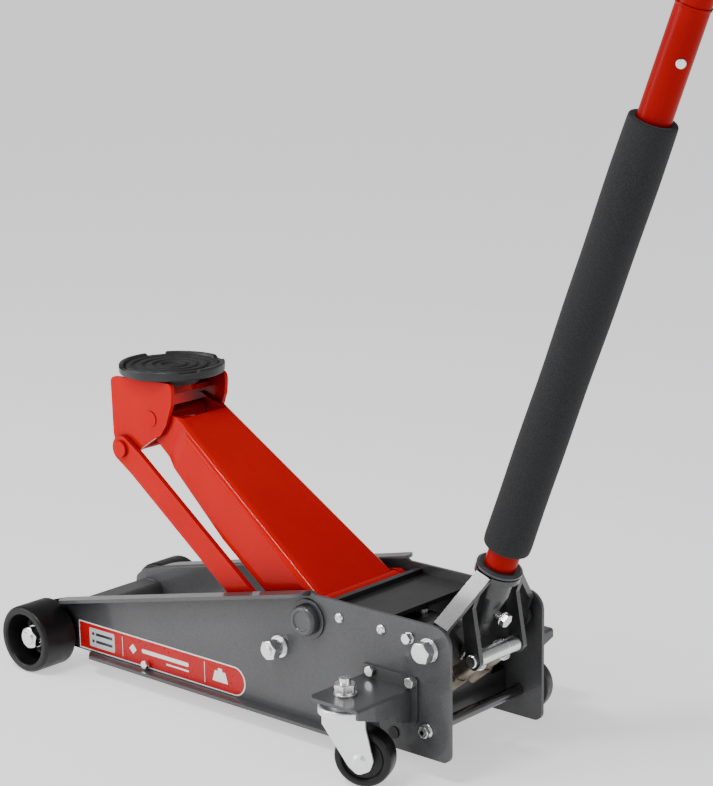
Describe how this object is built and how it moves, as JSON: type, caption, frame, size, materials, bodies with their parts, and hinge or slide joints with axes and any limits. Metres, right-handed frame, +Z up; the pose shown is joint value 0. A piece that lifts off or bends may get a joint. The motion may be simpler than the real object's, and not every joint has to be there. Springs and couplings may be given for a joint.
{
  "type": "hydraulic trolley jack",
  "caption": "Low trolley jack on wheels and swivel casters; a levelling lift arm raises a round saddle, pumped by a long leaning handle with a foam sleeve.",
  "frame": {"origin": "on the floor, under the centre of the whole jack's outer box with the arm part raised and the handle at rest", "axes": "+X forward towards the saddle and front wheels, +Y to the jack's left, +Z up"},
  "size_m": [1.0728, 0.326, 1.298],
  "materials": {
    "red_paint": "gloss red enamel",
    "dark_paint": "dark metallic grey gloss enamel",
    "saddle_iron": "dark grey enamel on cast iron",
    "zinc": "bright zinc plate",
    "machined_steel": "ground steel",
    "brass": "turned brass",
    "black_wheel": "satin black enamel on cast iron",
    "saddle_rubber": "matt black rubber",
    "foam": "fine-celled black foam",
    "grip_rubber": "matt black rubber grip",
    "label_red": "printed vinyl strip"
  },
  "bodies": {
    "chassis": {"side_plate_left": "dark_paint", "side_plate_right": "dark_paint", "front_axle": "zinc", "front_axle_nuts": "zinc", "front_cross_plate": "dark_paint", "deck_plate": "dark_paint", "deck_screws": "zinc", "frame_bolts": "zinc", "tie_rod": "zinc", "plate_plugs": "black_wheel", "caster_bracket_left": "dark_paint", "caster_bracket_right": "dark_paint", "caster_bracket_bolts": "zinc", "caster_kingpins": "zinc", "caster_races": "zinc", "arm_pivot_shaft": "machined_steel", "arm_pivot_caps": "dark_paint", "pump_block": "dark_paint", "pump_barrels": "brass", "ram_cylinder": "machined_steel", "reservoir_tube": "dark_paint", "cylinder_gland": "machined_steel", "filler_plug": "zinc", "link_pivot_bolts": "zinc", "yoke_pivot_bolts": "zinc", "hex_nuts": "zinc", "flat_washers": "zinc", "plunger_springs": "zinc", "label_plates": "label_red"},
    "wheel_front_left": {"front_wheel_left": "black_wheel"},
    "wheel_front_right": {"front_wheel_right": "black_wheel"},
    "caster_left": {"caster_fork_left": "zinc", "caster_axle_left": "zinc"},
    "caster_right": {"caster_fork_right": "zinc", "caster_axle_right": "zinc"},
    "caster_roller_left": {"caster_wheel_left": "black_wheel"},
    "caster_roller_right": {"caster_wheel_right": "black_wheel"},
    "arm": {"lift_arm": "red_paint", "arm_thrust_pin": "machined_steel", "saddle_bracket_pin": "red_paint"},
    "bracket": {"saddle_bracket": "red_paint", "link_front_pin": "red_paint"},
    "saddle": {"saddle_cup": "saddle_iron", "saddle_pad": "saddle_rubber"},
    "link_left": {"parallel_link_left": "red_paint"},
    "link_right": {"parallel_link_right": "red_paint"},
    "ram": {"ram_rod": "machined_steel", "ram_head": "machined_steel"},
    "yoke": {"handle_yoke": "dark_paint", "roller_pin": "zinc"},
    "roller": {"pump_roller": "zinc"},
    "plungers": {"pump_plungers": "machined_steel"},
    "handle": {"handle_socket": "dark_paint", "socket_screw": "zinc", "handle_lower_tube": "red_paint", "foam_sleeve": "foam", "handle_upper_tube": "red_paint", "handle_grip": "grip_rubber"},
    "button": {"spring_button": "zinc"},
    "release": {"release_spindle": "machined_steel"}
  },
  "joints": [
    {"name": "arm_lift", "type": "hinge", "parent": "chassis", "child": "arm", "pos_m": [0.08808, 0, 0.14], "axis": [0, -1, 0], "range_deg": [-41.5, 38]},
    {"name": "bracket_level", "type": "hinge", "parent": "arm", "child": "bracket", "pos_m": [0.35758, 0, 0.3105], "axis": [0, -1, 0], "range_deg": [-38, 41.5]},
    {"name": "link_left_pivot", "type": "hinge", "parent": "chassis", "child": "link_left", "pos_m": [0.13158, 0.07, 0.0995], "axis": [0, -1, 0], "range_deg": [-41.5, 38]},
    {"name": "link_right_pivot", "type": "hinge", "parent": "chassis", "child": "link_right", "pos_m": [0.13158, -0.07, 0.0995], "axis": [0, -1, 0], "range_deg": [-41.5, 38]},
    {"name": "ram_travel", "type": "slide", "parent": "chassis", "child": "ram", "axis": [1, 0, 0], "range_m": [-0.02609, 0.02389]},
    {"name": "saddle_swivel", "type": "hinge", "parent": "bracket", "child": "saddle", "pos_m": [0.36678, 0, 0.345], "axis": [0, 0, 1], "continuous": true},
    {"name": "front_wheel_left_spin", "type": "hinge", "parent": "chassis", "child": "wheel_front_left", "pos_m": [0.49648, 0.1079, 0.04], "axis": [0, 1, 0], "continuous": true},
    {"name": "front_wheel_right_spin", "type": "hinge", "parent": "chassis", "child": "wheel_front_right", "pos_m": [0.49648, -0.1079, 0.04], "axis": [0, 1, 0], "continuous": true},
    {"name": "caster_left_swivel", "type": "hinge", "parent": "chassis", "child": "caster_left", "pos_m": [-0.01142, 0.134, 0.08], "axis": [0, 0, 1], "continuous": true},
    {"name": "caster_left_spin", "type": "hinge", "parent": "caster_left", "child": "caster_roller_left", "pos_m": [-0.03097, 0.12634, 0.0313], "axis": [-0.3649, 0.9311, 0], "continuous": true},
    {"name": "caster_right_swivel", "type": "hinge", "parent": "chassis", "child": "caster_right", "pos_m": [-0.01142, -0.134, 0.08], "axis": [0, 0, 1], "continuous": true},
    {"name": "caster_right_spin", "type": "hinge", "parent": "caster_right", "child": "caster_roller_right", "pos_m": [-0.03161, -0.13979, 0.0313], "axis": [-0.2756, 0.9613, 0], "continuous": true},
    {"name": "handle_pump", "type": "hinge", "parent": "chassis", "child": "yoke", "pos_m": [-0.07692, 0, 0.142], "axis": [0, -1, 0], "range_deg": [-12, 45]},
    {"name": "handle_twist", "type": "hinge", "parent": "yoke", "child": "handle", "pos_m": [-0.10559, 0, 0.21669], "axis": [-0.3584, 0, 0.9336], "range_deg": [-90, 90]},
    {"name": "release_turn", "type": "hinge", "parent": "chassis", "child": "release", "pos_m": [-0.07692, 0, 0.142], "axis": [-0.5623, 0, 0.8269], "range_deg": [-90, 90]},
    {"name": "roller_spin", "type": "hinge", "parent": "yoke", "child": "roller", "pos_m": [-0.10093, 0, 0.124], "axis": [0, 1, 0], "continuous": true},
    {"name": "pump_stroke", "type": "slide", "parent": "chassis", "child": "plungers", "axis": [0.766, 0, -0.6428], "range_m": [-0.00613, 0.02294], "deforming": ["plunger_springs"]},
    {"name": "button_press", "type": "slide", "parent": "handle", "child": "button", "axis": [0.7357, -0.6157, 0.2824], "range_m": [0, 0.0045], "stiffness_N_per_m": 900, "springref_m": -0.001}
  ],
  "couplings": [
    {"joint": "bracket_level", "follows": "arm_lift", "ratio": -1},
    {"joint": "link_left_pivot", "follows": "arm_lift", "ratio": 1},
    {"joint": "link_right_pivot", "follows": "arm_lift", "ratio": 1},
    {"joint": "ram_travel", "follows": "arm_lift", "m_per_rad": 0.036},
    {"joint": "pump_stroke", "follows": "handle_pump", "m_per_rad": 0.0292},
    {"joint": "release_turn", "follows": "handle_twist", "ratio": 1}
  ]
}
